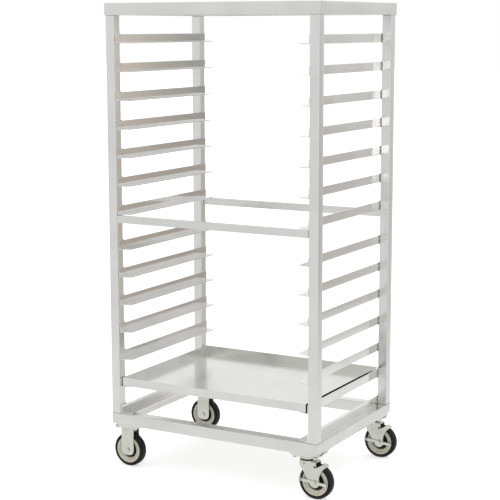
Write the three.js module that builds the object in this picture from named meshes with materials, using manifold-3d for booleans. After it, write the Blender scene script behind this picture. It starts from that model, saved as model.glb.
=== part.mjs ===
// Sheet pan rack: a welded aluminium tube frame with fourteen pairs of L-shaped pan runners,
// a loose bottom tray, two rigid casters on the left and two braked swivel casters on the right.
// Millimetres, +Z up. The rack's front faces -Y. The origin is on the floor, under the middle
// of the overall box.

import * as THREE from 'three';
import { mergeVertices } from 'three/addons/utils/BufferGeometryUtils.js';
import Module from 'manifold-3d';

const wasm = await Module();
wasm.setup();

// ---------------------------------------------------------------- driving dimensions

const GAP = 0.3;                  // clearance between pieces that touch
const OVERLAP = 1;                // how far the parts of one welded body reach into each other
const INCH = 25.4;

const FRAME_WIDTH = 737.4;        // X, over the posts
const FRAME_DEPTH = 539.3;        // Y, over the posts
const FRAME_HEIGHT = 1337.1;      // underside of the base frame to the top of the top frame
const CASTER_HEIGHT = 140.8;      // floor to the underside of the base frame

const POST = 1.25 * INCH;         // square tube
const POST_EDGE = 3;
const TUBE_WALL = 1.8;

const TOP_HEIGHT = 37.6;
const TOP_WIDTH = 1.5 * INCH;
const TOP_PROUD = 2.3;            // the top frame stands proud of the posts all round
const TOP_EDGE = 2;

const BASE_HEIGHT = 36.2;
const BASE_WIDTH = 1.5 * INCH;
const BASE_ROUND = 3;             // lower outer edges
const BASE_END_ROUND = 12;        // lower corners of the front and back rails' ends
const BASE_EDGE = 2;
const BASE_WALL = 4;              // side walls, thick enough to take the rounded edges
const VENT_RADIUS = 3;

const BRACE_HEIGHT = 24.2;
const BRACE_DEPTH = 12.4;
const BRACE_BOTTOM = 655.3;       // above the underside of the base frame

const RUNNER_PITCH = 3.5 * INCH;
const RUNNER_PAIRS = 14;
const RUNNERS_ABOVE_BRACE = 7;
const TOP_RUNNER_TOP = 1241.8;    // top edge of the highest pair, above the base underside
const BRACE_STEP = 22.3;          // extra drop where the brace crosses
const RUNNER_LEG = 27.2;
const RUNNER_LEDGE = 38.9;
const RUNNER_WALL = 2.5;
const RUNNER_BEND = 3;
const RUNNER_SETBACK = 3;         // leg ends behind the posts' outer faces
const LEDGE_CUT = 9.7;            // the ledge's corners are cut back from the leg's ends
const LEDGE_CORNER = 9;

const TRAY_WIDTH = 660.2;
const TRAY_DEPTH = 523.4;
const TRAY_LIP = 26;
const TRAY_WALL = 2;
const TRAY_SHIFT = -3.7;          // the tray lies nearer the left runner
const TRAY_CORNER = 4;
const TRAY_PAIR = 12;             // index of the pair that carries it

const CORNER_PLATE = { length: 105, width: 96, thick: 6.1, chamfer: 19, inset: 1.5 };
const CASTER_PLATE = { length: 84, width: 57, thick: 3.3, corner: 6 };

const WHEEL_RADIUS = 54.1;
const WHEEL_WIDTH = 28;
const HUB_RADIUS = 43;
const RIM_RADIUS = 37.5;          // inside of the hub's rim
const RIM_STEP = 1.6;             // the rim lies this far inside the tread's side
const WEB_RADIUS = 33;
const WEB_HALF = 6;               // half thickness of the hub's web
const BOSS_RADIUS = 11;
const TREAD_ROUND = 7;            // width of the tread's rounded shoulder
const HUB_HALF = 14.6;            // half length of the hub boss
const AXLE_RADIUS = 5;
const AXLE_CLEARANCE = 0.4;
const AXLE_TO_BASE = 86.7;        // axle below the underside of the base frame
const CASTER_INSET_Y = 33.6;      // wheel centre plane behind the frame's face
const RIGID_INSET_X = 45.9;       // rigid wheel centre from the left face
const SWIVEL_INSET_X = 47;        // swivel axis from the right face
const TRAIL = 30.2;               // swivel axle behind the swivel axis

const LEG_WALL = 2.5;
const LEG_INSIDE = 15;            // fork legs' inner faces from the wheel centre plane
const LEG_OUTSIDE = LEG_INSIDE + LEG_WALL;
const RIGID_LEG_WIDTH = 46;
const RIGID_TIP_ROUND = 19;
const LEG_TIP = 17;               // leg below the axle
const HEAD_RADIUS = 24.3;
const HEAD_BOTTOM = 16.8;         // fixed head ring, below the base underside
const RACE_RADIUS = 17;
const YOKE_TOP = 21.6;
const YOKE_PLATE = 24.5;
const YOKE_PLATE_WALL = 3;
const KINGPIN_RADIUS = 6;
const YOKE_PLATE_END = 5;         // the yoke's plate ends this far behind the axle
const SKIRT_BOTTOM = 52;          // foot of the rounded skirt, above the axle
const SKIRT_FRONT = 34.2;         // the skirt's rear edge, in front of the axle
const GUARD_RADIUS = 58.6;        // tyre guard between the swivel legs
const GUARD_WALL = 2.4;
const GUARD_START = 0.96;         // radians about the axle
const GUARD_END = 1.2;
const LEG_WINDOW = { x0: -2, z0: 44.5, size: 6.2 };
const RIVET_RADIUS = 9;
const RIVET_THICK = 3;

const LEVER_WALL = 2.5;
const LEVER_HEIGHT = 9;
const LEVER_REACH = 46;
const LEVER_TILT = THREE.MathUtils.degToRad(5);
const LEVER_BOSS = 7.5;
const LEVER_TAB = 7;              // how far the foot tabs stand out
const LEVER_TAB_WALL = 2.5;
const LEVER_TAB_RISE = 6;

const NUT_ACROSS = 7.2;           // corner radius of a hexagon head
const NUT_THICK = 4;

// ---------------------------------------------------------------- derived places

const left = -FRAME_WIDTH / 2;
const right = FRAME_WIDTH / 2;
const front = -FRAME_DEPTH / 2;
const back = FRAME_DEPTH / 2;
const baseBottom = CASTER_HEIGHT;
const baseTop = baseBottom + BASE_HEIGHT;
const frameTop = baseBottom + FRAME_HEIGHT;
const topBottom = frameTop - TOP_HEIGHT;
const innerLeft = left + POST;
const innerRight = right - POST;
const wheelLeft = left + RIGID_INSET_X - WHEEL_RADIUS;
const wheelRight = right - SWIVEL_INSET_X + TRAIL + WHEEL_RADIUS;
const centreShift = -(wheelLeft + wheelRight) / 2;

// ---------------------------------------------------------------- materials

const metal = (color, roughness) => new THREE.MeshStandardMaterial({ color, roughness, metalness: 1 });
const aluminium = metal(0xcfcfcb, 0.38);
const brightAluminium = metal(0xe6e6e4, 0.16);
const zincPlate = metal(0xbfc1b4, 0.42);
const steel = metal(0xa9aaa8, 0.3);
const wheelMaterial = new THREE.MeshStandardMaterial({ color: 0x2b2b2a, roughness: 0.7, metalness: 0 });

// ---------------------------------------------------------------- solids

const extrude = (shape, depth, curveSegments = 2) =>
  new THREE.ExtrudeGeometry(shape, { depth, bevelEnabled: false, curveSegments });

// Each of these extrudes a section towards the positive axis it names.
const alongX = (shape, length, curveSegments) => {
  const turn = new THREE.Matrix4().set(0, 0, 1, 0, 1, 0, 0, 0, 0, 1, 0, 0, 0, 0, 0, 1);
  return extrude(shape, length, curveSegments).applyMatrix4(turn);
};

const alongY = (shape, length, curveSegments) =>
  extrude(shape, length, curveSegments).rotateX(Math.PI / 2).translate(0, length, 0);

const alongZ = extrude;

function solid(geometry) {
  const bare = geometry.clone();
  bare.deleteAttribute('normal');
  bare.deleteAttribute('uv');
  const merged = mergeVertices(bare, 1e-4);
  const mesh = new wasm.Mesh({
    numProp: 3,
    vertProperties: merged.attributes.position.array,
    triVerts: Uint32Array.from(merged.index.array),
  });
  return new wasm.Manifold(mesh);
}

function geometryOf(body) {
  const mesh = body.getMesh();
  const geometry = new THREE.BufferGeometry();
  geometry.setAttribute('position', new THREE.BufferAttribute(mesh.vertProperties, 3));
  geometry.setIndex(new THREE.BufferAttribute(mesh.triVerts, 1));
  return geometry;
}

// A closed outline with its corners, in order, each rounded by its own radius.
function roundedOutline(corners) {
  const shape = new THREE.Shape();
  corners.forEach(([x, y, radius], i) => {
    const corner = new THREE.Vector2(x, y);
    const towards = (j) => {
      const [tx, ty] = corners[(j + corners.length) % corners.length];
      return new THREE.Vector2(tx, ty).sub(corner).normalize();
    };
    const before = towards(i - 1);
    const after = towards(i + 1);
    const half = Math.acos(THREE.MathUtils.clamp(before.dot(after), -1, 1)) / 2;
    const reach = radius / Math.tan(half);
    const start = corner.clone().addScaledVector(before, reach);
    const end = corner.clone().addScaledVector(after, reach);
    if (i === 0) shape.moveTo(start.x, start.y);
    else shape.lineTo(start.x, start.y);
    if (radius > 0) shape.quadraticCurveTo(x, y, end.x, end.y);
  });
  shape.closePath();
  return shape;
}

const rectangle = (x0, y0, x1, y1, radius = 0) =>
  roundedOutline([[x0, y0, radius], [x1, y0, radius], [x1, y1, radius], [x0, y1, radius]]);

const box = (x0, y0, z0, x1, y1, z1) =>
  new THREE.BoxGeometry(x1 - x0, y1 - y0, z1 - z0)
    .translate((x0 + x1) / 2, (y0 + y1) / 2, (z0 + z1) / 2);

const rodAlongY = (radius, y0, y1, segments = 16) =>
  new THREE.CylinderGeometry(radius, radius, y1 - y0, segments).translate(0, (y0 + y1) / 2, 0);

const rodAlongZ = (radius, z0, z1, segments = 32) =>
  new THREE.CylinderGeometry(radius, radius, z1 - z0, segments)
    .rotateX(Math.PI / 2).translate(0, 0, (z0 + z1) / 2);

// ---------------------------------------------------------------- the assembly

const rack = new THREE.Group();
const structure = new THREE.Group();
structure.position.x = centreShift;
rack.add(structure);

function place(name, geometry, material, parent = structure) {
  const mesh = new THREE.Mesh(geometry, material);
  mesh.name = name;
  parent.add(mesh);
  return mesh;
}

// ---------------------------------------------------------------- frame

function openTube(width, height, edge, extrusion, length) {
  const outer = rectangle(0, 0, width, height, edge);
  outer.holes.push(rectangle(TUBE_WALL, TUBE_WALL, width - TUBE_WALL, height - TUBE_WALL));
  return extrusion(outer, length);
}

function addPosts() {
  const length = topBottom - baseTop - 2 * GAP;
  const corners = {
    post_front_left: [left, front],
    post_front_right: [innerRight, front],
    post_back_left: [left, back - POST],
    post_back_right: [innerRight, back - POST],
  };
  for (const [name, [x, y]] of Object.entries(corners)) {
    const post = place(name, openTube(POST, POST, POST_EDGE, alongZ, length), aluminium);
    post.position.set(x, y, baseTop + GAP);
  }
}

// Front and back rails run the full width, with welded ends and a vent hole underneath.
function closedRail(length, width, height, outline) {
  const hollow = box(TUBE_WALL, TUBE_WALL, TUBE_WALL,
    length - TUBE_WALL, width - TUBE_WALL, height - TUBE_WALL);
  const vent = rodAlongZ(VENT_RADIUS, -OVERLAP, TUBE_WALL + OVERLAP, 12).translate(length / 2, width / 2, 0);
  return solid(outline).subtract(solid(hollow)).subtract(solid(vent));
}

function addTopFrame() {
  const length = FRAME_WIDTH + 2 * TOP_PROUD;
  for (const [name, y] of [['top_rail_front', front - TOP_PROUD],
    ['top_rail_back', back + TOP_PROUD - TOP_WIDTH]]) {
    const outline = alongX(rectangle(0, 0, TOP_WIDTH, TOP_HEIGHT, TOP_EDGE), length);
    const rail = place(name, geometryOf(closedRail(length, TOP_WIDTH, TOP_HEIGHT, outline)), aluminium);
    rail.position.set(left - TOP_PROUD, y, topBottom);
  }
  const sideLength = FRAME_DEPTH + 2 * TOP_PROUD - 2 * TOP_WIDTH - 2 * GAP;
  for (const [name, x] of [['top_rail_left', left - TOP_PROUD],
    ['top_rail_right', right + TOP_PROUD - TOP_WIDTH]]) {
    const rail = place(name, openTube(TOP_WIDTH, TOP_HEIGHT, TOP_EDGE, alongY, sideLength), aluminium);
    rail.position.set(x, front - TOP_PROUD + TOP_WIDTH + GAP, topBottom);
  }
}

// A caster corner plate, its outer corner at the origin, with the weld that joins it to the rail above.
function cornerPlate(mirrorX, mirrorY) {
  const { length, width, thick, chamfer, inset } = CORNER_PLATE;
  const outline = roundedOutline([
    [inset + chamfer, inset, 0], [length - chamfer, inset, 0], [length, inset + chamfer, 0],
    [length, width - chamfer, 0], [length - chamfer, width, 0], [inset + chamfer, width, 0],
    [inset, width - chamfer, 0], [inset, inset + chamfer, 0],
  ]);
  const plate = solid(alongZ(outline, thick)).translate([0, 0, -thick]);
  const weld = solid(box(inset + chamfer, BASE_ROUND, -OVERLAP,
    length - chamfer, BASE_WIDTH - BASE_EDGE, OVERLAP));
  return plate.add(weld).scale([mirrorX, mirrorY, 1]);
}

function addBaseFrame() {
  const length = FRAME_WIDTH;
  const endView = (outer) => (outer < 0
    ? roundedOutline([[0, 0, BASE_ROUND], [BASE_WIDTH, 0, BASE_EDGE],
      [BASE_WIDTH, BASE_HEIGHT, BASE_EDGE], [0, BASE_HEIGHT, BASE_EDGE]])
    : roundedOutline([[0, 0, BASE_EDGE], [BASE_WIDTH, 0, BASE_ROUND],
      [BASE_WIDTH, BASE_HEIGHT, BASE_EDGE], [0, BASE_HEIGHT, BASE_EDGE]]));
  const faceView = roundedOutline([[0, 0, BASE_END_ROUND], [length, 0, BASE_END_ROUND],
    [length, BASE_HEIGHT, BASE_EDGE], [0, BASE_HEIGHT, BASE_EDGE]]);
  const faceBlock = solid(alongY(faceView, BASE_WIDTH, 4));
  for (const [name, y, outer] of [['base_rail_front', front, -1],
    ['base_rail_back', back - BASE_WIDTH, 1]]) {
    const block = solid(alongX(endView(outer), length, 3)).intersect(faceBlock);
    const hollow = solid(box(BASE_END_ROUND, BASE_WALL, TUBE_WALL,
      length - BASE_END_ROUND, BASE_WIDTH - BASE_WALL, BASE_HEIGHT - TUBE_WALL));
    const vent = solid(rodAlongZ(VENT_RADIUS, -OVERLAP, TUBE_WALL + OVERLAP, 12))
      .translate([length / 2, BASE_WIDTH / 2, 0]);
    const plateY = outer < 0 ? 0 : BASE_WIDTH;
    const rail = block.subtract(hollow).subtract(vent)
      .add(cornerPlate(1, -outer).translate([0, plateY, 0]))
      .add(cornerPlate(-1, -outer).translate([length, plateY, 0]));
    place(name, geometryOf(rail), aluminium).position.set(left, y, baseBottom);
  }
  const sideLength = FRAME_DEPTH - 2 * BASE_WIDTH - 2 * GAP;
  for (const [name, x, outer] of [['base_rail_left', left, -1],
    ['base_rail_right', right - BASE_WIDTH, 1]]) {
    const profile = endView(outer);
    profile.holes.push(rectangle(BASE_WALL, BASE_WALL, BASE_WIDTH - BASE_WALL, BASE_HEIGHT - BASE_WALL));
    const geometry = alongY(profile, sideLength, 3).scale(1, 1, (BASE_HEIGHT - GAP) / BASE_HEIGHT);
    place(name, geometry, aluminium).position.set(x, front + BASE_WIDTH + GAP, baseBottom + GAP);
  }
}

function addBraces() {
  const length = innerRight - innerLeft - 2 * GAP;
  for (const [name, y] of [['brace_front', front], ['brace_back', back - BRACE_DEPTH]]) {
    const brace = place(name, openTube(BRACE_DEPTH, BRACE_HEIGHT, 1.5, alongX, length), aluminium);
    brace.position.set(innerLeft + GAP, y, baseBottom + BRACE_BOTTOM);
  }
}

// ---------------------------------------------------------------- runners and tray

const runnerTop = (index) =>
  baseBottom + TOP_RUNNER_TOP - index * RUNNER_PITCH - (index >= RUNNERS_ABOVE_BRACE ? BRACE_STEP : 0);

// A left-hand runner, its leg's outer face on X = 0 and its ledge's underside on Z = 0.
function runnerSolid() {
  const length = FRAME_DEPTH - 2 * RUNNER_SETBACK;
  const section = roundedOutline([
    [0, 0, RUNNER_BEND], [RUNNER_LEDGE, 0, 0], [RUNNER_LEDGE, RUNNER_WALL, 0],
    [RUNNER_WALL, RUNNER_WALL, RUNNER_BEND - RUNNER_WALL], [RUNNER_WALL, RUNNER_LEG, 0], [0, RUNNER_LEG, 0],
  ]);
  const plan = roundedOutline([
    [-OVERLAP, 0, 0], [RUNNER_BEND, 0, 0], [RUNNER_LEDGE, LEDGE_CUT, LEDGE_CORNER],
    [RUNNER_LEDGE, length - LEDGE_CUT, LEDGE_CORNER], [RUNNER_BEND, length, 0], [-OVERLAP, length, 0],
  ]);
  const trim = solid(alongZ(plan, RUNNER_LEG + 2 * OVERLAP, 5)).translate([0, 0, -OVERLAP]);
  return solid(alongY(section, length, 2)).intersect(trim);
}

function addRunners() {
  const leftHand = runnerSolid();
  const leftGeometry = geometryOf(leftHand);
  const rightGeometry = geometryOf(leftHand.scale([-1, 1, 1]));
  for (let index = 0; index < RUNNER_PAIRS; index += 1) {
    const number = String(index + 1).padStart(2, '0');
    const z = runnerTop(index) - RUNNER_LEG;
    const y = front + RUNNER_SETBACK;
    place(`runner_left_${number}`, leftGeometry, aluminium).position.set(innerLeft + GAP, y, z);
    place(`runner_right_${number}`, rightGeometry, aluminium).position.set(innerRight - GAP, y, z);
  }
}

function addTray() {
  const w = TRAY_WALL;
  const outside = solid(alongZ(rectangle(0, 0, TRAY_WIDTH, TRAY_DEPTH, TRAY_CORNER), TRAY_LIP, 3));
  const inside = solid(alongZ(rectangle(w, w, TRAY_WIDTH - w, TRAY_DEPTH - w, TRAY_CORNER - w), TRAY_LIP, 3))
    .translate([0, 0, w]);
  const tray = place('shelf_tray', geometryOf(outside.subtract(inside)), brightAluminium);
  const z = runnerTop(TRAY_PAIR) - RUNNER_LEG + RUNNER_WALL + GAP;
  tray.position.set(TRAY_SHIFT - TRAY_WIDTH / 2, -TRAY_DEPTH / 2, z);
}

// ---------------------------------------------------------------- casters
// Caster pieces are drawn about the wheel's centre: X forward, Y along the axle, Z up.

const underside = AXLE_TO_BASE;                                   // base underside above the axle
const plateTop = underside - CORNER_PLATE.thick - GAP;
const plateBottom = plateTop - CASTER_PLATE.thick;

const axleHole = (radius = AXLE_RADIUS + AXLE_CLEARANCE) => solid(rodAlongY(radius, -40, 40, 20));

function casterPlate(centreX) {
  const { length, width, thick, corner } = CASTER_PLATE;
  return solid(alongZ(rectangle(-length / 2, -width / 2, length / 2, width / 2, corner), thick, 3))
    .translate([centreX, 0, plateBottom]);
}

function legPair(outline) {
  const leg = solid(alongY(outline, LEG_WALL, 4));
  const near = leg.translate([0, -LEG_OUTSIDE, 0]);
  const far = leg.translate([0, LEG_INSIDE, 0]);
  return near.add(far);
}

// The wheel's section is a list of [radius, half width], mirrored about its middle plane.
function wheelGeometry() {
  const half = WHEEL_WIDTH / 2;
  const boss = [[AXLE_RADIUS + AXLE_CLEARANCE, HUB_HALF], [BOSS_RADIUS, HUB_HALF]];
  const web = [[BOSS_RADIUS + 1.5, WEB_HALF], [WEB_RADIUS, WEB_HALF]];
  const rim = [[RIM_RADIUS, half - RIM_STEP - 1], [HUB_RADIUS, half - RIM_STEP]];
  const tread = [
    [HUB_RADIUS + 1.2, half], [WHEEL_RADIUS - TREAD_ROUND + 1, half - 0.4],
    [WHEEL_RADIUS - 1.5, half - 3], [WHEEL_RADIUS, half - TREAD_ROUND],
  ];
  const side = [...boss, ...web, ...rim, ...tread];
  const lower = side.map(([r, y]) => new THREE.Vector2(r, -y));
  const upper = side.map(([r, y]) => new THREE.Vector2(r, y)).reverse();
  const profile = [...lower, ...upper, lower[0].clone()];
  return new THREE.LatheGeometry(profile, 28);
}

function axleGeometry(nearSide) {
  const shank = solid(rodAlongY(AXLE_RADIUS, -nearSide - OVERLAP, LEG_OUTSIDE + OVERLAP, 20));
  const head = solid(rodAlongY(NUT_ACROSS, -nearSide - NUT_THICK, -nearSide, 6));
  const nut = solid(rodAlongY(NUT_ACROSS, LEG_OUTSIDE + GAP, LEG_OUTSIDE + GAP + NUT_THICK, 6));
  return geometryOf(shank.add(head).add(nut));
}

function rigidForkGeometry() {
  const half = RIGID_LEG_WIDTH / 2;
  const outline = roundedOutline([
    [-half, plateBottom + OVERLAP, 0], [-half, -LEG_TIP, RIGID_TIP_ROUND],
    [half, -LEG_TIP, RIGID_TIP_ROUND], [half, plateBottom + OVERLAP, 0],
  ]);
  return geometryOf(casterPlate(0).add(legPair(outline)).subtract(axleHole()));
}

function swivelHeadGeometry() {
  const pivot = [-TRAIL, 0, 0];
  const ring = solid(rodAlongZ(HEAD_RADIUS, underside - HEAD_BOTTOM, plateBottom + OVERLAP));
  const raceBottom = underside - YOKE_TOP + GAP;
  const race = solid(rodAlongZ(RACE_RADIUS, raceBottom, underside - HEAD_BOTTOM + OVERLAP, 24));
  const rivetTop = underside - YOKE_PLATE - YOKE_PLATE_WALL - GAP;
  const pin = solid(rodAlongZ(KINGPIN_RADIUS, rivetTop - OVERLAP, underside - HEAD_BOTTOM, 16));
  const rivet = solid(rodAlongZ(RIVET_RADIUS, rivetTop - RIVET_THICK, rivetTop, 16));
  return geometryOf(casterPlate(-TRAIL).add(ring.add(race).add(pin).add(rivet).translate(pivot)));
}

// The swivel leg narrows from the head to the axle, and carries the tyre guard behind.
const SWIVEL_LEG = {
  front: -51,                     // under the head ring's front
  shoulder: [-47, 42],
  waist: [-38, 31.5],
  tipStart: 0.3,                  // radians round the tip, from its front
  tipEnd: 0.35,
  heel: [[12.4, 10], [18, 25]],
  calf: [[23, 38], [33.6, 48]],
  notch: [6, 45.5],
};

function swivelLegOutline() {
  const { front: lead, shoulder, waist, tipStart, tipEnd, heel, calf, notch } = SWIVEL_LEG;
  const top = underside - YOKE_PLATE - YOKE_PLATE_WALL / 2;
  const shape = new THREE.Shape();
  shape.moveTo(YOKE_PLATE_END, top);
  shape.lineTo(lead, top);
  shape.lineTo(lead, SKIRT_BOTTOM);
  shape.quadraticCurveTo(...shoulder, ...waist);
  shape.lineTo(-LEG_TIP * Math.cos(tipStart), -LEG_TIP * Math.sin(tipStart));
  shape.absarc(0, 0, LEG_TIP, Math.PI + tipStart, 2 * Math.PI - tipEnd, false);
  shape.quadraticCurveTo(...heel[0], ...heel[1]);
  shape.quadraticCurveTo(...calf[0], ...calf[1]);
  shape.absarc(0, 0, GUARD_RADIUS, GUARD_START, GUARD_END, false);
  shape.lineTo(...notch);
  shape.closePath();
  return shape;
}

function tyreGuard() {
  const shape = new THREE.Shape();
  shape.absarc(0, 0, GUARD_RADIUS, GUARD_START, GUARD_END, false);
  shape.absarc(0, 0, GUARD_RADIUS - GUARD_WALL, GUARD_END, GUARD_START, true);
  shape.closePath();
  return solid(alongY(shape, 2 * (LEG_INSIDE + OVERLAP), 4).translate(0, -LEG_INSIDE - OVERLAP, 0));
}

function yokeGeometry() {
  const plateZ = underside - YOKE_PLATE - YOKE_PLATE_WALL;
  const plateTopZ = plateZ + YOKE_PLATE_WALL;
  const pivot = [-TRAIL, 0, 0];
  const beyond = HEAD_RADIUS + OVERLAP;
  const head = solid(rodAlongZ(HEAD_RADIUS, plateZ, underside - YOKE_TOP)).translate(pivot);
  const plate = solid(box(-TRAIL, -LEG_OUTSIDE, plateZ, YOKE_PLATE_END, LEG_OUTSIDE, plateTopZ));
  const skirt = solid(rodAlongZ(HEAD_RADIUS, SKIRT_BOTTOM, plateZ + OVERLAP))
    .subtract(solid(rodAlongZ(HEAD_RADIUS - LEG_WALL, SKIRT_BOTTOM - OVERLAP, plateTopZ)))
    .subtract(solid(box(TRAIL - SKIRT_FRONT, -beyond, SKIRT_BOTTOM - OVERLAP, beyond, beyond, plateTopZ)))
    .translate(pivot);
  const pinHole = solid(rodAlongZ(KINGPIN_RADIUS + GAP, 0, underside, 16)).translate(pivot);
  const { x0, z0, size } = LEG_WINDOW;
  const window = solid(box(x0, -LEG_OUTSIDE - OVERLAP, z0, x0 + size, LEG_OUTSIDE + OVERLAP, z0 + size));
  const body = head.add(plate).add(legPair(swivelLegOutline())).add(tyreGuard()).add(skirt);
  return geometryOf(body.subtract(pinHole).subtract(axleHole()).subtract(window));
}

// A rocker bar on the axle with a foot tab bent outwards at each end.
function brakeLeverGeometry() {
  const half = LEVER_HEIGHT / 2;
  const bar = roundedOutline([
    [-LEVER_REACH, -half, 3], [LEVER_REACH, -half, 3], [LEVER_REACH, half, 3], [-LEVER_REACH, half, 3],
  ]);
  const near = -LEG_OUTSIDE - GAP - LEVER_WALL;
  const tabFace = near - LEVER_TAB;
  const farFace = near + LEVER_WALL;
  const plate = solid(alongY(bar, LEVER_WALL, 3)).translate([0, near, 0]);
  const boss = solid(rodAlongY(LEVER_BOSS, near, farFace, 24));
  const leftTab = solid(box(-LEVER_REACH - LEVER_TAB_WALL, tabFace, -half,
    -LEVER_REACH + OVERLAP, farFace, half + LEVER_TAB_RISE));
  const rightTab = solid(box(LEVER_REACH - OVERLAP - LEVER_TAB_WALL, tabFace, -half,
    LEVER_REACH - OVERLAP, farFace, half));
  const lever = plate.add(boss).add(leftTab).add(rightTab).subtract(axleHole());
  return geometryOf(lever).rotateY(LEVER_TILT);
}

function casterGroup(x, y) {
  const group = new THREE.Group();
  group.position.set(x, y, baseBottom - AXLE_TO_BASE);
  structure.add(group);
  return group;
}

function addCasters() {
  const wheel = wheelGeometry();
  const rigidAxle = axleGeometry(LEG_OUTSIDE + GAP);
  const swivelAxle = axleGeometry(LEG_OUTSIDE + LEVER_WALL + 2 * GAP);
  const rows = { front: front + CASTER_INSET_Y, back: back - CASTER_INSET_Y };
  for (const [row, y] of Object.entries(rows)) {
    const rigid = casterGroup(left + RIGID_INSET_X, y);
    place(`rigid_fork_${row}`, rigidForkGeometry(), zincPlate, rigid);
    place(`rigid_axle_${row}`, rigidAxle, steel, rigid);
    place(`rigid_wheel_${row}`, wheel, wheelMaterial, rigid);

    const swivel = casterGroup(right - SWIVEL_INSET_X + TRAIL, y);
    place(`swivel_head_${row}`, swivelHeadGeometry(), zincPlate, swivel);
    place(`swivel_yoke_${row}`, yokeGeometry(), zincPlate, swivel);
    place(`swivel_axle_${row}`, swivelAxle, steel, swivel);
    place(`swivel_wheel_${row}`, wheel, wheelMaterial, swivel);
    place(`brake_lever_${row}`, brakeLeverGeometry(), zincPlate, swivel);
  }
}

addPosts();
addTopFrame();
addBaseFrame();
addBraces();
addRunners();
addTray();
addCasters();

export default rack;
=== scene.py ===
import math

import bmesh
import bpy
from mathutils import Matrix, Vector


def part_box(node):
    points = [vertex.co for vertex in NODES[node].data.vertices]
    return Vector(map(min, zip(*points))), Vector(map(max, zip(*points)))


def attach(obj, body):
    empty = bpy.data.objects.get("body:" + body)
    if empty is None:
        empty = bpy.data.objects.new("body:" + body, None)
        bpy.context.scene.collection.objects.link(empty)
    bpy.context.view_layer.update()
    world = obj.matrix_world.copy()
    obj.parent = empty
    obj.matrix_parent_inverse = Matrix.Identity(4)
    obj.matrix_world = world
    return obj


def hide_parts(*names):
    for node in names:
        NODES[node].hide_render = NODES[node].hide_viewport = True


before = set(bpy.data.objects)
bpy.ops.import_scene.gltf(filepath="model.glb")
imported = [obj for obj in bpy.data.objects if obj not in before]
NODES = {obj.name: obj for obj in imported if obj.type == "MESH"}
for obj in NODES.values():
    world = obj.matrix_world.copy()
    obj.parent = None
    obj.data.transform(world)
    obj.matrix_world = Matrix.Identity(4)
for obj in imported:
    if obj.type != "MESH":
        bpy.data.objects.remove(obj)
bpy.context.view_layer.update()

MM = 0.001

# ------------------------------------------------------------------ places from the frame

ROWS = ("front", "back")
SIDES = ("left", "right")
PAIRS = [f"{number:02d}" for number in range(1, 15)]

POST_BOX = {(row, side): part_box(f"post_{row}_{side}") for row in ROWS for side in SIDES}
FRAME_LEFT = POST_BOX["front", "left"][0].x
FRAME_RIGHT = POST_BOX["front", "right"][1].x
FRAME_FRONT = POST_BOX["front", "left"][0].y
FRAME_BACK = POST_BOX["back", "left"][1].y
BASE_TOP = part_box("base_rail_front")[1].z
TOP_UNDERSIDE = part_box("top_rail_front")[0].z

# ------------------------------------------------------------------ camera

CAMERA_PLACE = Vector((2131.2, -3844.4, 1407.6)) * MM
CAMERA_YAW = 0.51099
CAMERA_PITCH = 0.15981
CAMERA_ROLL = 0.00195
CAMERA_LENS = 100.15
SENSOR = 36.0


def add_camera():
    data = bpy.data.cameras.new("camera")
    data.lens = CAMERA_LENS
    data.sensor_width = SENSOR
    data.clip_start = 0.05
    data.clip_end = 200.0
    camera = bpy.data.objects.new("camera", data)
    bpy.context.scene.collection.objects.link(camera)
    turn = Matrix.Rotation(CAMERA_YAW, 4, "Z")
    tip = Matrix.Rotation(math.pi / 2 - CAMERA_PITCH, 4, "X")
    roll = Matrix.Rotation(-CAMERA_ROLL, 4, "Z")
    camera.matrix_world = Matrix.Translation(CAMERA_PLACE) @ turn @ tip @ roll
    bpy.context.scene.camera = camera


# ------------------------------------------------------------------ node helpers


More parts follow.
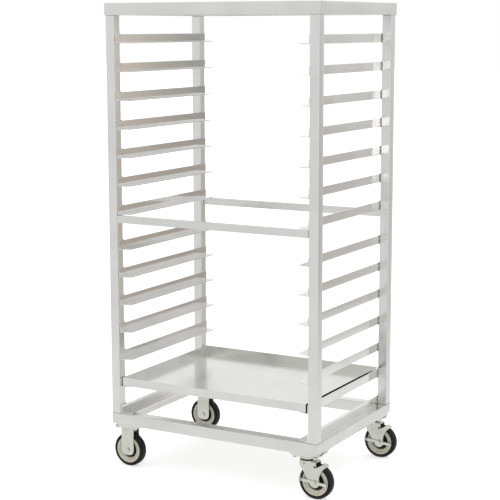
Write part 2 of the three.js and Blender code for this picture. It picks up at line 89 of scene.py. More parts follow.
class Shader:
    """A node material under construction: a Principled BSDF with named inputs."""

    def __init__(self, name):
        self.material = bpy.data.materials.new(name)
        self.material.use_nodes = True
        self.tree = self.material.node_tree
        self.bsdf = self.tree.nodes["Principled BSDF"]
        self.place = self.add("ShaderNodeTexCoord").outputs["Object"]

    def add(self, kind, **settings):
        node = self.tree.nodes.new(kind)
        for key, value in settings.items():
            setattr(node, key, value)
        return node

    def link(self, output, target):
        self.tree.links.new(output, target)

    def noise(self, scale, stretch=(1, 1, 1), detail=3.0, roughness=0.55):
        mapping = self.add("ShaderNodeMapping")
        mapping.inputs["Scale"].default_value = stretch
        self.link(self.place, mapping.inputs["Vector"])
        noise = self.add("ShaderNodeTexNoise")
        noise.inputs["Scale"].default_value = scale
        noise.inputs["Detail"].default_value = detail
        noise.inputs["Roughness"].default_value = roughness
        self.link(mapping.outputs["Vector"], noise.inputs["Vector"])
        return noise.outputs["Fac"]

    def span(self, value, low, high, start=0.3, end=0.7):
        """Maps a noise from start..end onto low..high, without going past them."""
        node = self.add("ShaderNodeMapRange")
        node.inputs["From Min"].default_value = start
        node.inputs["From Max"].default_value = end
        node.inputs["To Min"].default_value = low
        node.inputs["To Max"].default_value = high
        self.link(value, node.inputs["Value"])
        return node.outputs["Result"]

    def blend(self, factor, first, second):
        """A colour between two, each a colour or another node's output."""
        node = self.add("ShaderNodeMix", data_type="RGBA")
        self.link(factor, node.inputs["Factor"])
        for socket, value in ((node.inputs[6], first), (node.inputs[7], second)):
            if isinstance(value, bpy.types.NodeSocket):
                self.link(value, socket)
            else:
                socket.default_value = (*value, 1.0)
        return node.outputs[2]

    def bump(self, height, strength, distance):
        node = self.add("ShaderNodeBump")
        node.inputs["Strength"].default_value = strength
        node.inputs["Distance"].default_value = distance
        self.link(height, node.inputs["Height"])
        self.link(node.outputs["Normal"], self.bsdf.inputs["Normal"])

    def total(self, first, second, weight):
        """first plus weight times second."""
        node = self.add("ShaderNodeMath", operation="MULTIPLY_ADD")
        self.link(second, node.inputs[0])
        node.inputs[1].default_value = weight
        self.link(first, node.inputs[2])
        return node.outputs["Value"]

    def set(self, name, value):
        self.bsdf.inputs[name].default_value = value

    def drive(self, name, output):
        self.link(output, self.bsdf.inputs[name])


# ------------------------------------------------------------------ materials

ALONG = {"X": (0.02, 1, 1), "Y": (1, 0.02, 1), "Z": (1, 1, 0.02)}


def drawn_aluminium(name, grain, light, dark, roughness):
    """Drawn or rolled aluminium: fine lines along the grain, faint cloudy marks and small scuffs."""
    shader = Shader(name)
    lines = shader.noise(900.0, ALONG[grain], 2.0)
    cloud = shader.noise(7.0, detail=4.0)
    scuffs = shader.noise(160.0, ALONG[grain], 5.0, 0.7)
    marked = shader.blend(shader.span(cloud, 0.0, 1.0), light, dark)
    scuffed = shader.blend(shader.span(scuffs, 0.0, 0.5, 0.58, 0.8), marked, [c * 0.82 for c in dark])
    shader.drive("Base Color", scuffed)
    lined = shader.span(lines, roughness * 0.75, roughness * 1.25)
    clouded = shader.span(cloud, -0.03, 0.03)
    shader.drive("Roughness", shader.total(lined, clouded, 1.0))
    shader.set("Metallic", 1.0)
    shader.bump(shader.total(lines, scuffs, 0.5), 0.12, 0.0002)
    return shader.material


def weld_metal():
    """Weld bead: matt, darker than the tube, with grey smut and a little heat colour."""
    shader = Shader("weld_metal")
    smut = shader.noise(240.0, detail=4.0)
    tint = shader.noise(60.0)
    base = shader.blend(shader.span(smut, 0.0, 1.0), (0.66, 0.66, 0.64), (0.24, 0.235, 0.22))
    shader.drive("Base Color", shader.blend(shader.span(tint, 0.0, 0.35), base, (0.40, 0.34, 0.27)))
    shader.drive("Roughness", shader.span(smut, 0.42, 0.62))
    shader.set("Metallic", 0.9)
    shader.bump(smut, 0.35, 0.0004)
    return shader.material


def zinc_plate():
    """Zinc plated pressed steel: pale green-grey, faintly mottled."""
    shader = Shader("zinc_plate")
    spangle = shader.noise(120.0, detail=2.0)
    cloud = shader.noise(28.0, detail=3.0)
    base = shader.blend(shader.span(cloud, 0.0, 1.0), (0.59, 0.605, 0.545), (0.49, 0.505, 0.445))
    shader.drive("Base Color", shader.blend(shader.span(spangle, 0.0, 0.5), base, (0.66, 0.67, 0.62)))
    shader.drive("Roughness", shader.span(spangle, 0.34, 0.50))
    shader.set("Metallic", 1.0)
    shader.bump(spangle, 0.10, 0.0003)
    return shader.material


def bright_steel():
    """Turned and plated steel for bolts, nuts and races."""
    shader = Shader("bright_steel")
    marks = shader.noise(420.0, detail=3.0)
    tone = shader.blend(shader.span(marks, 0.0, 1.0), (0.62, 0.625, 0.60), (0.47, 0.475, 0.45))
    shader.drive("Base Color", tone)
    shader.drive("Roughness", shader.span(marks, 0.18, 0.34))
    shader.set("Metallic", 1.0)
    shader.bump(marks, 0.06, 0.0002)
    return shader.material


def tread_rubber():
    """Dull black tread, dusty where it rolls."""
    shader = Shader("tread_rubber")
    grain = shader.noise(700.0, detail=3.0)
    dust = shader.noise(45.0, detail=5.0, roughness=0.65)
    tone = shader.blend(shader.span(dust, 0.0, 0.6), (0.005, 0.006, 0.006), (0.018, 0.018, 0.017))
    shader.drive("Base Color", tone)
    shader.drive("Roughness", shader.span(grain, 0.46, 0.66))
    shader.set("Specular IOR Level", 0.14)
    shader.bump(grain, 0.25, 0.0003)
    return shader.material


def hub_plastic():
    """Tan moulded wheel centre, satin, with faint flow marks and patches of grime."""
    shader = Shader("hub_plastic")
    flow = shader.noise(90.0, detail=3.0)
    grime = shader.noise(36.0, detail=5.0, roughness=0.7)
    base = shader.blend(shader.span(flow, 0.0, 1.0), (0.50, 0.475, 0.395), (0.43, 0.405, 0.325))
    grimy = shader.span(grime, 0.0, 0.45, 0.5, 0.75)
    shader.drive("Base Color", shader.blend(grimy, base, (0.22, 0.20, 0.15)))
    shader.drive("Roughness", shader.span(flow, 0.38, 0.52))
    shader.bump(flow, 0.08, 0.0004)
    return shader.material


# ------------------------------------------------------------------ carried-over CAD nodes

EDGE_BEVEL = 0.35 * MM
CASTER_BEVEL = 0.5 * MM
WELD_DISTANCE = 0.02 * MM
BEVEL_ANGLE = math.radians(50)
FLAT_ANGLE = math.radians(1.0)


def dress(node_name, material, bevel=EDGE_BEVEL):
    """Gives a CAD node its material and softly broken edges."""
    node = NODES[node_name]
    mesh = node.data
    mesh.materials.clear()
    mesh.materials.append(material)
    if "custom_normal" in mesh.attributes:
        mesh.attributes.remove(mesh.attributes["custom_normal"])
    mesh.shade_smooth()
    node.modifiers.new("weld", "WELD").merge_threshold = WELD_DISTANCE
    flatten = node.modifiers.new("flatten", "DECIMATE")
    flatten.decimate_type = "DISSOLVE"
    flatten.angle_limit = FLAT_ANGLE
    edge = node.modifiers.new("edge", "BEVEL")
    edge.width = bevel
    edge.segments = 2
    edge.limit_method = "ANGLE"
    edge.angle_limit = BEVEL_ANGLE
    normals = node.modifiers.new("normals", "WEIGHTED_NORMAL")
    normals.keep_sharp = True


def dress_frame():
    length_x = drawn_aluminium("aluminium_x", "X", (0.64, 0.64, 0.625), (0.59, 0.59, 0.575), 0.24)
    length_y = drawn_aluminium("aluminium_y", "Y", (0.64, 0.64, 0.625), (0.59, 0.59, 0.575), 0.24)
    length_z = drawn_aluminium("aluminium_z", "Z", (0.66, 0.66, 0.65), (0.60, 0.60, 0.585), 0.22)
    runner = drawn_aluminium("aluminium_runner", "Y", (0.66, 0.655, 0.64), (0.60, 0.595, 0.58), 0.11)
    # The lowest runners get a lighter copy of the runner aluminium: painted light, so they read brighter
    # than the same metal higher up.
    lit_bottom_runner = drawn_aluminium("aluminium_lit_bottom_runner", "Y", (0.80, 0.795, 0.78), (0.75, 0.745, 0.73), 0.20)
    tray = drawn_aluminium("aluminium_tray", "X", (0.64, 0.64, 0.62), (0.60, 0.60, 0.58), 0.18)
    for row in ROWS:
        for side in SIDES:
            dress(f"post_{row}_{side}", length_z)
        dress(f"top_rail_{row}", length_x)
        dress(f"base_rail_{row}", length_x)
        dress(f"brace_{row}", length_x)
    for side in SIDES:
        dress(f"top_rail_{side}", length_y)
        dress(f"base_rail_{side}", length_y)
        for pair in PAIRS:
            # The lowest pair takes the lighter copy: painted light.
            dress(f"runner_{side}_{pair}", lit_bottom_runner if pair == PAIRS[-1] else runner)
    dress("shelf_tray", tray)


def dress_casters(zinc, steel):
    for row in ROWS:
        for part in ("rigid_fork", "swivel_head", "swivel_yoke", "brake_lever"):
            dress(f"{part}_{row}", zinc, CASTER_BEVEL)
        for part in ("rigid_axle", "swivel_axle"):
            dress(f"{part}_{row}", steel)


# ------------------------------------------------------------------ mesh helpers

SHARP_ANGLE = math.radians(38)


def add_piece(name, bm, body, slot, *materials):
    mesh = bpy.data.meshes.new(name)
    bmesh.ops.recalc_face_normals(bm, faces=bm.faces)
    bm.to_mesh(mesh)
    bm.free()
    mesh.shade_smooth()
    mesh.set_sharp_from_angle(angle=SHARP_ANGLE)
    for material in materials:
        mesh.materials.append(material)
    piece = bpy.data.objects.new(name, mesh)
    bpy.context.scene.collection.objects.link(piece)
    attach(piece, body)
    return piece


def lathe(bm, centre, profile, segments=96, axis=Vector((0, 1, 0))):
    """A closed ring turned about an axis through centre; profile is a list of (radius, height)."""
    across = Vector((1, 0, 0))
    up = axis.cross(across)
    rings = []
    for step in range(segments):
        angle = 2 * math.pi * step / segments
        out = across * math.cos(angle) + up * math.sin(angle)
        rings.append([bm.verts.new(centre + out * r + axis * h) for r, h in profile])
    for step in range(segments):
        here, there = rings[step], rings[(step + 1) % segments]
        for index in range(len(profile)):
            after = (index + 1) % len(profile)
            bm.faces.new((here[index], there[index], there[after], here[after]))


def arc(centre, radius, start, end, steps):
    """Points on a circular arc, in degrees, as (x, y) pairs."""
    turns = [math.radians(start + (end - start) * i / steps) for i in range(steps + 1)]
    return [(centre[0] + radius * math.cos(t), centre[1] + radius * math.sin(t)) for t in turns]


# ------------------------------------------------------------------ welds

BEAD_RADIUS = 2.9 * MM
FOOT_BEAD = 2.4 * MM
POST_FOOT_BEAD = 1.5 * MM
POST_HEAD_BEAD = 1.8 * MM
POST_BEAD_INSET = 2.5 * MM
BRACE_BEAD = 1.4 * MM
BRACE_SIDE_BEAD = 1.5 * MM
BRACE_BEAD_INSET = 1.5 * MM
BRACE_SIDE_INSET = 2.0 * MM
RUNNER_BEAD_BELOW = 1.0 * MM      # how far a runner's beads pass its edges
RUNNER_BEAD_ABOVE = 2.0 * MM
FOOT_INSET = 1.0 * MM
PLATE_BEAD = 4.0 * MM
EDGE_BEAD = 1.9 * MM
PLATE_END_RUN = (12.0 * MM, 38.0 * MM)      # start and end of each bead, from the frame's corner
PLATE_SIDE_RUN = (36.0 * MM, 92.0 * MM)
PLATE_FACE_RUN = (14.0 * MM, 100.0 * MM)
BEAD_SIDES = 7
RIPPLE_PITCH = 2.6 * MM
RIPPLE_STEPS = 3


def bead(bm, start, end, radius=BEAD_RADIUS):
    """A straight rippled weld bead with tapered ends."""
    along = end - start
    length = along.length
    along.normalize()
    side = along.orthogonal().normalized()
    up = along.cross(side)
    steps = max(6, round(length / RIPPLE_PITCH) * RIPPLE_STEPS)
    rings = []
    for step in range(steps + 1):
        share = step / steps
        ripple = 0.13 * math.sin(2 * math.pi * step / RIPPLE_STEPS)
        drift = 0.16 * math.sin(start.z / MM + 1.7 * step)
        swell = 1 + ripple + drift
        taper = min(1.0, 0.45 + 4.0 * min(share, 1 - share))
        sway = side * (0.12 * radius * math.sin(9.0 * share * length / MM / 10))
        ring = []
        for turn in range(BEAD_SIDES):
            angle = 2 * math.pi * turn / BEAD_SIDES
            reach = (side * math.cos(angle) + up * math.sin(angle)) * radius * swell * taper
            ring.append(bm.verts.new(start + along * length * share + reach + sway))
        rings.append(ring)
    for here, there in zip(rings, rings[1:]):
        for turn in range(BEAD_SIDES):
            after = (turn + 1) % BEAD_SIDES
            bm.faces.new((here[turn], here[after], there[after], there[turn]))
    bm.faces.new(rings[0])
    bm.faces.new(rings[-1])


def add_runner_welds(weld):
    """Each runner is welded to both its posts, up the posts' inner edges."""
    bm = bmesh.new()
    for side in SIDES:
        low, high = POST_BOX["front", side]
        face = high.x if side == "left" else low.x
        for pair in PAIRS:
            low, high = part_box(f"runner_{side}_{pair}")
            for y_edge in (POST_BOX["front", side][1].y, POST_BOX["back", side][0].y):
                foot = Vector((face, y_edge, low.z - RUNNER_BEAD_BELOW))
                bead(bm, foot, Vector((face, y_edge, high.z + RUNNER_BEAD_ABOVE)))
    add_piece("runner_welds", bm, "frame", "frame_aluminium", weld)


def add_foot_welds(weld):
    """The lowest runners are also welded along the base rails they stand on."""
    bm = bmesh.new()
    for side in SIDES:
        low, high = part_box(f"runner_{side}_{PAIRS[-1]}")
        x = low.x + FOOT_INSET if side == "left" else high.x - FOOT_INSET
        y_start = POST_BOX["front", side][1].y
        y_end = POST_BOX["back", side][0].y
        bead(bm, Vector((x, y_start, BASE_TOP)), Vector((x, y_end, BASE_TOP)), FOOT_BEAD)
    add_piece("foot_welds", bm, "frame", "frame_aluminium", weld)


def ring_of_beads(bm, low, high, z, radius):
    """Beads along the four sides of a post's foot or head."""
    left, right = low.x + POST_BEAD_INSET, high.x - POST_BEAD_INSET
    front, back = low.y + POST_BEAD_INSET, high.y - POST_BEAD_INSET
    for y in (low.y, high.y):
        bead(bm, Vector((left, y, z)), Vector((right, y, z)), radius)
    for x in (low.x, high.x):
        bead(bm, Vector((x, front, z)), Vector((x, back, z)), radius)


def add_post_welds(weld):
    """Each post is welded all round to the base frame and to the top frame."""
    bm = bmesh.new()
    for low, high in POST_BOX.values():
        ring_of_beads(bm, low, high, BASE_TOP, POST_FOOT_BEAD)
        ring_of_beads(bm, low, high, TOP_UNDERSIDE, POST_HEAD_BEAD)
    add_piece("post_welds", bm, "frame", "frame_aluminium", weld)


def add_plate_welds(metal):
    """Beads along the base rails' lower outer edges, over the caster corner plates."""
    bm = bmesh.new()
    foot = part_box("base_rail_left")[0].z
    up = Vector((0, 0, 1))
    for y, inward in ((FRAME_FRONT, 1), (FRAME_BACK, -1)):
        for x, across in ((FRAME_LEFT, 1), (FRAME_RIGHT, -1)):
            corner = Vector((x, y, foot))
            step_x = Vector((across, 0, 0))
            step_y = Vector((0, inward, 0))
            edge_lift = up * 0.2 * EDGE_BEAD
            end_line = corner + step_x * PLATE_BEAD + up * 0.5 * PLATE_BEAD
            side_line = corner + step_x * EDGE_BEAD * 1.2 + edge_lift
            face_line = corner + step_y * EDGE_BEAD * 1.2 + edge_lift
            for line, way, (start, end), radius in (
                (end_line, step_y, PLATE_END_RUN, PLATE_BEAD),
                (side_line, step_y, PLATE_SIDE_RUN, EDGE_BEAD),
                (face_line, step_x, PLATE_FACE_RUN, EDGE_BEAD),
            ):
                bead(bm, line + way * start, line + way * end, radius)
    add_piece("plate_welds", bm, "frame", "frame_aluminium", metal)


def add_brace_welds(weld):
    """Each brace is welded to its posts above, below and up its inner face."""
    bm = bmesh.new()
    for row in ROWS:
        low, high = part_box(f"brace_{row}")
        front, back = low.y + BRACE_BEAD_INSET, high.y - BRACE_BEAD_INSET
        bottom, top = low.z + BRACE_SIDE_INSET, high.z - BRACE_SIDE_INSET
        inner = high.y if row == "front" else low.y
        for x in (low.x, high.x):
            for z in (low.z, high.z):
                bead(bm, Vector((x, front, z)), Vector((x, back, z)), BRACE_BEAD)
            bead(bm, Vector((x, inner, bottom)), Vector((x, inner, top)), BRACE_SIDE_BEAD)
    add_piece("brace_welds", bm, "frame", "frame_aluminium", weld)


# ------------------------------------------------------------------ wheels

TREAD_HALF = 14.0 * MM       # half the tread's width
TREAD_ROUND = 6.5 * MM
RIM_RADIUS = 43.0 * MM       # where the tread meets the moulded centre
RIM_STEP = 1.6 * MM
HUB_BORE = 5.4 * MM
BOSS_RADIUS = 11.5 * MM
BOSS_HALF = 14.5 * MM
BOSS_ROUND = 1.0 * MM
WELL_FACE = 1.5 * MM         # faces are heights from the wheel's middle plane
WELL_OUTER = 25.0 * MM
WELL_ROUND = 2.0 * MM
WEB_FACE = 8.5 * MM
WEB_INNER = 29.5 * MM
WEB_OUTER = 33.0 * MM
WEB_ROUND = 1.5 * MM
LIP_FACE = TREAD_HALF - 0.6 * MM
LIP_FOOT = 37.0 * MM
LIP_INNER = 39.4 * MM
LIP_INNER_ROUND = 1.4 * MM
LIP_OUTER_ROUND = 1.3 * MM
# Black rings laid in the hub wells: painted shade, standing in for the shadow in the deep recess round the
# boss.
SHADE_RING_INNER = 12.6 * MM
SHADE_RING_OUTER = 26.4 * MM
SHADE_RING_BACK = WELL_FACE + 0.3 * MM
SHADE_RING_FACE = WELL_FACE + 3.4 * MM
SHADE_RING_EDGE = 1.0 * MM
FINE_RING = 72               # steps round a small ring


def wheel_centre(node):
    low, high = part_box(node)
    return (low + high) / 2, (high.z - low.z) / 2


def mirrored(side):
    """A whole closed section from its +Y half."""
    return side + [(r, -h) for r, h in reversed(side)]


def tread_section(radius):
    """The tread's +Y half, from the rim outwards."""
    return [
        (RIM_RADIUS, TREAD_HALF - 1.5 * MM),
        (RIM_RADIUS + 1.2 * MM, TREAD_HALF - 0.2 * MM),
        *arc((radius - TREAD_ROUND, TREAD_HALF - TREAD_ROUND), TREAD_ROUND, 90, 0, 8),
    ]


def hub_section():
    """The moulded centre's +Y half, from the bore outwards: boss, well, web and lip."""
    boss_edge = BOSS_RADIUS - BOSS_ROUND
    lip_edge = RIM_RADIUS - LIP_OUTER_ROUND
    return [
        (HUB_BORE, BOSS_HALF),
        (boss_edge, BOSS_HALF),
        *arc((boss_edge, BOSS_HALF - BOSS_ROUND), BOSS_ROUND, 90, 0, 3),
        (BOSS_RADIUS + 0.5 * MM, WELL_FACE + 1.5 * MM),
        *arc((BOSS_RADIUS + 2.5 * MM, WELL_FACE + WELL_ROUND), WELL_ROUND, 180, 270, 4),
        *arc((WELL_OUTER, WELL_FACE + WELL_ROUND), WELL_ROUND, 270, 350, 4),
        *arc((WEB_INNER, WEB_FACE - 1 * MM), WEB_ROUND, 170, 90, 4),
        *arc((WEB_OUTER, WEB_FACE + 2 * MM), WEB_ROUND, 270, 345, 4),
        (LIP_FOOT, LIP_FACE - 1.6 * MM),
        *arc((LIP_INNER, LIP_FACE - LIP_INNER_ROUND), LIP_INNER_ROUND, 180, 90, 4),
        *arc((lip_edge, LIP_FACE - LIP_OUTER_ROUND), LIP_OUTER_ROUND, 90, 0, 4),
        (RIM_RADIUS + 0.05 * MM, TREAD_HALF - RIM_STEP * 1.4),
    ]


def shade_ring_section():
    """The whole section of a black ring lying in the well on the +Y side: painted shade for the recess's
    shadow.
    """
    return [
        (SHADE_RING_INNER, SHADE_RING_BACK),
        (SHADE_RING_OUTER - 1.4 * MM, SHADE_RING_BACK),
        (SHADE_RING_OUTER, SHADE_RING_FACE - SHADE_RING_EDGE),
        (SHADE_RING_OUTER - 0.8 * MM, SHADE_RING_FACE),
        (SHADE_RING_INNER + 0.4 * MM, SHADE_RING_FACE),
        (SHADE_RING_INNER, SHADE_RING_FACE - SHADE_RING_EDGE),
    ]


def add_wheel(node, body, tread, hub):
    """A wheel's tread and moulded centre, in the CAD node's place, and black rings in its hub wells as
    painted shade.
    """
    centre, radius = wheel_centre(node)

    bm = bmesh.new()
    lathe(bm, centre, mirrored(tread_section(radius)))
    tyre = add_piece(f"{node}_tread", bm, body, "tyre_rubber", tread)
    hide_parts(node)

    bm = bmesh.new()
    lathe(bm, centre, mirrored(hub_section()))
    core = add_piece(f"{node}_hub", bm, body, "hub_plastic", hub)
    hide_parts(node)

    # Black rings in both hub wells: painted shade for the shadow in the recess.
    bm = bmesh.new()
    for facing in (1, -1):
        lathe(bm, centre, [(r, facing * h) for r, h in shade_ring_section()], FINE_RING)
    add_piece(f"{node}_shade_rings", bm, body, "tyre_rubber", tread)


def add_wheels(tread, hub):
    for row in ROWS:
        add_wheel(f"rigid_wheel_{row}", f"rigid_wheel_{row}", tread, hub)
        add_wheel(f"swivel_wheel_{row}", f"swivel_wheel_{row}", tread, hub)


# ------------------------------------------------------------------ caster fittings


AXIS_GAP = 0.001 * MM        # a lathe's section stops this short of its axis
WASHER_THICK = 1.2 * MM
BOLT_CORNER = 5.6 * MM       # from the bolt's axis to a corner of its head
BOLT_THICK = 4.2 * MM
BOLT_X = 34.0 * MM           # bolts either side of the plate's middle
BOLT_Y = 21.0 * MM
PLATE_DROP = 3.3 * MM        # from a top plate's upper face to the bolts' seat


def hexagon_bolt(bm, top, corner, thick):
    """A hexagon head with a chamfered face and a washer, hanging below top."""
    down = Vector((0, 0, -1))
    reach = corner * 1.15
    washer = [(AXIS_GAP, 0), (reach, 0), (reach, WASHER_THICK), (AXIS_GAP, WASHER_THICK)]
    lathe(bm, top, washer, 24, down)
    head = [(AXIS_GAP, 0), (corner, 0), (corner, thick * 0.8), (corner * 0.86, thick), (AXIS_GAP, thick)]
    lathe(bm, top + down * WASHER_THICK, head, 6, down)


def add_plate_bolts(steel):
    """Four bolts under each caster's top plate."""
    for row in ROWS:
        for kind, node in (("rigid", f"rigid_fork_{row}"), ("swivel", f"swivel_head_{row}")):
            low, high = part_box(node)
            centre = (low + high) / 2
            seat = high.z - PLATE_DROP
            bm = bmesh.new()
            for dx in (-BOLT_X, BOLT_X):
                for dy in (-BOLT_Y, BOLT_Y):
                    hexagon_bolt(bm, Vector((centre.x + dx, centre.y + dy, seat)), BOLT_CORNER, BOLT_THICK)
            add_piece(f"{kind}_plate_bolts_{row}", bm, "frame", "fastener_steel", steel)


SWIVEL_SLOT = 4.8 * MM       # height of the gap between the head and the yoke
RACE_LIP_RADIUS = 23.7 * MM
RACE_LIP_ROUND = 0.9 * MM
# A black ring in the swivel bearing's gap: painted shade, standing in for the shadow inside the gap.
SLOT_SHADE_INNER = 18.0 * MM
SLOT_SHADE_OUTER = 22.5 * MM
SLOT_SHADE_CLEAR_BELOW = 0.5 * MM
SLOT_SHADE_CLEAR_ABOVE = 0.4 * MM


def add_race_rings(steel, slot_shade):
    """The polished raceway lips either side of the swivel bearing's gap, and a black ring in the gap as
    painted shade.
    """
    up = Vector((0, 0, 1))
    for row in ROWS:
        low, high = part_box(f"swivel_head_{row}")
        slot_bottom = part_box(f"swivel_yoke_{row}")[1].z
        slot_top = slot_bottom + SWIVEL_SLOT
        centre = Vector(((low.x + high.x) / 2, (low.y + high.y) / 2, 0))
        for name, body, z in (("upper", "frame", slot_top + RACE_LIP_ROUND),
                              ("lower", f"swivel_{row}", slot_bottom - RACE_LIP_ROUND)):
            bm = bmesh.new()
            lathe(bm, centre + up * z, arc((RACE_LIP_RADIUS, 0), RACE_LIP_ROUND, 0, 330, 11), FINE_RING, up)
            add_piece(f"swivel_race_{name}_{row}", bm, body, "fastener_steel", steel)
        # A black ring filling the gap: painted shade for the shadow inside it.
        bm = bmesh.new()
        slot_shade_low = slot_bottom + SLOT_SHADE_CLEAR_BELOW
        slot_shade_high = slot_top - SLOT_SHADE_CLEAR_ABOVE
        section = [
            (SLOT_SHADE_INNER, slot_shade_low), (SLOT_SHADE_OUTER, slot_shade_low),
            (SLOT_SHADE_OUTER, slot_shade_high), (SLOT_SHADE_INNER, slot_shade_high),
        ]
        lathe(bm, centre, section, FINE_RING, up)
        add_piece(f"swivel_slot_shade_{row}", bm, "frame", "tyre_rubber", slot_shade)


# ------------------------------------------------------------------ stage and light


FLOOR_GLOW = 0.5
FLOOR_HALF = 40              # metres


def add_floor():
    """A pale floor that glows a little; the metal mirrors the room in its place."""
    bm = bmesh.new()
    bmesh.ops.create_grid(bm, x_segments=1, y_segments=1, size=FLOOR_HALF)
    mesh = bpy.data.meshes.new("floor")
    bm.to_mesh(mesh)
    bm.free()
    shader = Shader("floor_white")
    tone = shader.noise(0.4, detail=1.0)
    shader.drive("Base Color", shader.blend(tone, (0.76, 0.76, 0.76), (0.78, 0.78, 0.78)))
    shader.set("Roughness", 0.9)
    shader.set("Specular IOR Level", 0.1)
    shader.set("Emission Color", (1.0, 1.0, 1.0, 1.0))
    shader.set("Emission Strength", FLOOR_GLOW)
    mesh.materials.append(shader.material)
    floor = bpy.data.objects.new("floor", mesh)
    floor.visible_glossy = False
    bpy.context.scene.collection.objects.link(floor)


# Radiance of the room by compass direction, in degrees from the back (+Y) towards the right (+X).
# The front and the left are the same at every height; only the back right changes.
TONES_TO_BACK = (
    (-180, (0.97, 0.97, 0.97)),
    (-60, (1.06, 1.06, 1.06)),
    (6, (1.06, 1.06, 1.06)),
)
TONES_FROM_RIGHT = (
    (60, (0.92, 0.90, 0.88)),
    (120, (0.97, 0.97, 0.97)),
    (140, (1.22, 1.22, 1.22)),
    (160, (1.22, 1.22, 1.22)),
    (180, (0.97, 0.97, 0.97)),
)
ROOM_TONES = (
    *TONES_TO_BACK,
    (24, (0.92, 0.92, 0.90)),
    (28, (0.78, 0.78, 0.76)),
    (30, (0.36, 0.375, 0.355)),
    (32.6, (0.40, 0.40, 0.375)),
    (34, (0.92, 0.82, 0.72)),
    *TONES_FROM_RIGHT,
)
LOW_TONES = (
    *TONES_TO_BACK,
    (22, (0.88, 0.87, 0.85)),
    (31, (0.52, 0.475, 0.43)),
    (37, (0.66, 0.58, 0.51)),
    *TONES_FROM_RIGHT,
)
ROOM_ABOVE = (1.11, 1.11, 1.10)   # above the horizon, and below the floor line
ROOM_TOP = 1.25                   # brightest tone, for the ramp's own 0..1 colours
# Heights of the view direction, each a start and an end, over which one set of tones gives way to the next.
HORIZON = (0.0, 0.04)
LOW_LINE = (-0.05, -0.10)
FLOOR_LINE = (-0.20, -0.25)


def map_range(tree, value, low, high, start, end):
    node = tree.nodes.new("ShaderNodeMapRange")
    node.inputs["From Min"].default_value = low
    node.inputs["From Max"].default_value = high
    node.inputs["To Min"].default_value = start
    node.inputs["To Max"].default_value = end
    tree.links.new(value, node.inputs["Value"])
    return node.outputs["Result"]


def room_ramp(tree, turn, tones):
    """A colour ramp round the compass."""
    ramp = tree.nodes.new("ShaderNodeValToRGB")
    tree.links.new(turn, ramp.inputs["Fac"])
    stops = ramp.color_ramp.elements
    while len(stops) < len(tones):
        stops.new(0.5)
    for stop, (degrees, tone) in zip(stops, tones):
        stop.position = (degrees + 180) / 360
        stop.color = (*(c / ROOM_TOP for c in tone), 1.0)
    return ramp.outputs["Color"]


def room_mix(tree, factor, first):
    """A mix from first towards a second colour, which the caller gives."""
    mix = tree.nodes.new("ShaderNodeMix")
    mix.data_type = "RGBA"
    tree.links.new(factor, mix.inputs["Factor"])
    tree.links.new(first, mix.inputs[6])
    return mix


def add_room(tree):
    """The room that the metal mirrors: a grey flag and a beige card at the back right, white elsewhere."""
    split = tree.nodes.new("ShaderNodeSeparateXYZ")
    tree.links.new(tree.nodes.new("ShaderNodeTexCoord").outputs["Generated"], split.inputs["Vector"])
    compass = tree.nodes.new("ShaderNodeMath")
    compass.operation = "ARCTAN2"
    tree.links.new(split.outputs["X"], compass.inputs[0])
    tree.links.new(split.outputs["Y"], compass.inputs[1])
    turn = map_range(tree, compass.outputs["Value"], -math.pi, math.pi, 0.0, 1.0)
    height = split.outputs["Z"]
    low = map_range(tree, height, *LOW_LINE, 0.0, 1.0)
    walls = room_mix(tree, low, room_ramp(tree, turn, ROOM_TONES))
    tree.links.new(room_ramp(tree, turn, LOW_TONES), walls.inputs[7])
    outside = tree.nodes.new("ShaderNodeMath")
    outside.operation = "ADD"
    tree.links.new(map_range(tree, height, *HORIZON, 0.0, 1.0), outside.inputs[0])
    tree.links.new(map_range(tree, height, *FLOOR_LINE, 0.0, 1.0), outside.inputs[1])
    mix = room_mix(tree, outside.outputs["Value"], walls.outputs[2])
    mix.inputs[7].default_value = (*(c / ROOM_TOP for c in ROOM_ABOVE), 1.0)
    background = tree.nodes["Background"]
    background.inputs["Strength"].default_value = ROOM_TOP
    tree.links.new(mix.outputs[2], background.inputs["Color"])
    return background


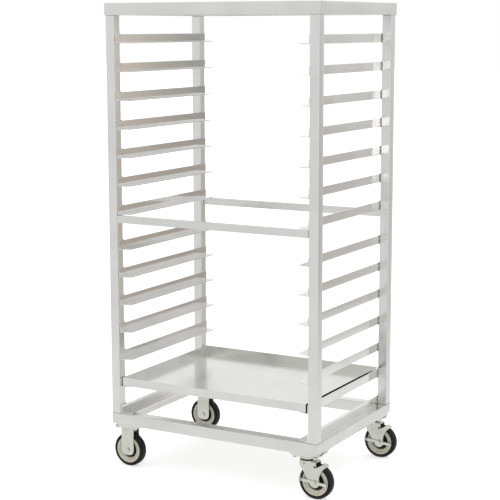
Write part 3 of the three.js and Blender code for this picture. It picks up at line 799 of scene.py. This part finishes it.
def add_world():
    """The room for light and reflections, and a plain white backdrop behind the object."""
    world = bpy.data.worlds.new("white_room")
    world.use_nodes = True
    bpy.context.scene.world = world
    tree = world.node_tree
    room = add_room(tree)
    backdrop = tree.nodes.new("ShaderNodeBackground")
    backdrop.inputs["Color"].default_value = (1.0, 1.0, 1.0, 1.0)
    backdrop.inputs["Strength"].default_value = 1.0
    seen = tree.nodes.new("ShaderNodeMixShader")
    tree.links.new(tree.nodes.new("ShaderNodeLightPath").outputs["Is Camera Ray"], seen.inputs[0])
    tree.links.new(room.outputs["Background"], seen.inputs[1])
    tree.links.new(backdrop.outputs["Background"], seen.inputs[2])
    tree.links.new(seen.outputs["Shader"], tree.nodes["World Output"].inputs["Surface"])


def add_area_light(name, place, target, size, power):
    data = bpy.data.lights.new(name, "AREA")
    data.shape = "RECTANGLE"
    data.size, data.size_y = size
    data.energy = power
    lamp = bpy.data.objects.new(name, data)
    lamp.location = place
    lamp.visible_camera = False
    lamp.rotation_mode = "QUATERNION"
    lamp.rotation_quaternion = (Vector(target) - Vector(place)).to_track_quat("-Z", "Y")
    bpy.context.scene.collection.objects.link(lamp)


SOFTBOX_POWER = 5.5
SOFTBOX_HEIGHT = 0.75
SOFTBOX_SIZE = (0.9, 0.8)
SOFTBOX_REACH = 1.12         # its distance, as a share of the camera's
LIGHT_TARGET = Vector((0.0, 0.0, 0.8))


def add_lights():
    """One softbox on the camera's bearing, lower than the camera."""
    place = LIGHT_TARGET + (CAMERA_PLACE - LIGHT_TARGET) * SOFTBOX_REACH
    place.z = SOFTBOX_HEIGHT
    add_area_light("softbox", place, LIGHT_TARGET, SOFTBOX_SIZE, SOFTBOX_POWER)


bpy.context.scene.view_settings.view_transform = "Standard"

add_camera()
add_world()
add_floor()
add_lights()

zinc_material = zinc_plate()
steel_material = bright_steel()
weld_material = weld_metal()

dress_frame()
dress_casters(zinc_material, steel_material)
add_runner_welds(weld_material)
add_post_welds(weld_material)
rail_material = NODES["base_rail_left"].data.materials[0]
add_foot_welds(rail_material)
add_plate_welds(rail_material)
add_brace_welds(weld_material)
rubber_material = tread_rubber()
add_wheels(rubber_material, hub_plastic())
add_plate_bolts(steel_material)
add_race_rings(steel_material, rubber_material)
